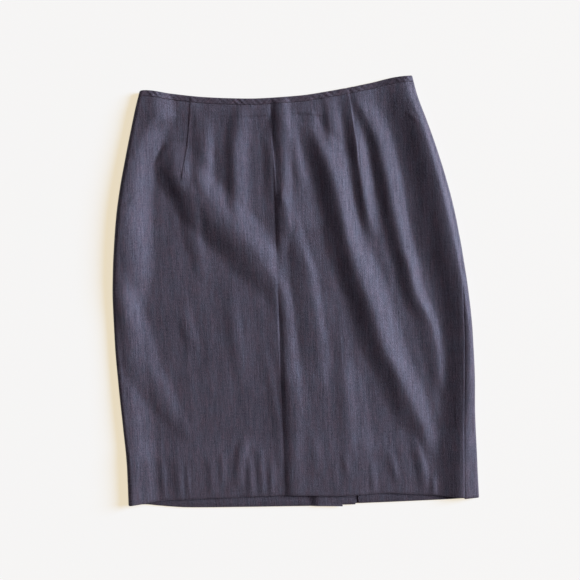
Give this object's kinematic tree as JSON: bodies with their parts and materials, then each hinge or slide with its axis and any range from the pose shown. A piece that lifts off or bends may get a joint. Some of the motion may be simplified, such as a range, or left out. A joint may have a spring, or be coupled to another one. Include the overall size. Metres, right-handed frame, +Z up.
{
  "type": "pencil skirt",
  "caption": "Pencil skirt of woven suiting with a bound waist, waist darts, a pressed centre-front line, a back vent and a zip, laid flat and face up.",
  "frame": {"origin": "on the floor under the middle of the outline", "axes": "+Z up from the floor, out of the front of the skirt; +Y from hem to waist; +X to the viewer's right, which is the wearer's left"},
  "size_m": [0.5092, 0.6072, 0.011],
  "materials": {
    "suiting": "slubby woven suiting, charcoal with a violet cast, a slight sheen along the threads",
    "zip_tape": "close woven tape, matt",
    "zip_metal": "dark lacquered die casting, satin"
  },
  "bodies": {
    "skirt": {"front_panel": "suiting", "back_panel_right": "suiting", "back_panel_left": "suiting", "waist_binding": "suiting", "zip_tape": "zip_tape", "zip_slider": "zip_metal"},
    "pull": {"zip_pull": "zip_metal"}
  },
  "joints": [
    {"name": "pull_swing", "type": "hinge", "parent": "skirt", "child": "pull", "pos_m": [-0.00251, 0.26768, 0.00065], "axis": [1, 0, 0], "range_deg": [0, 150]}
  ]
}
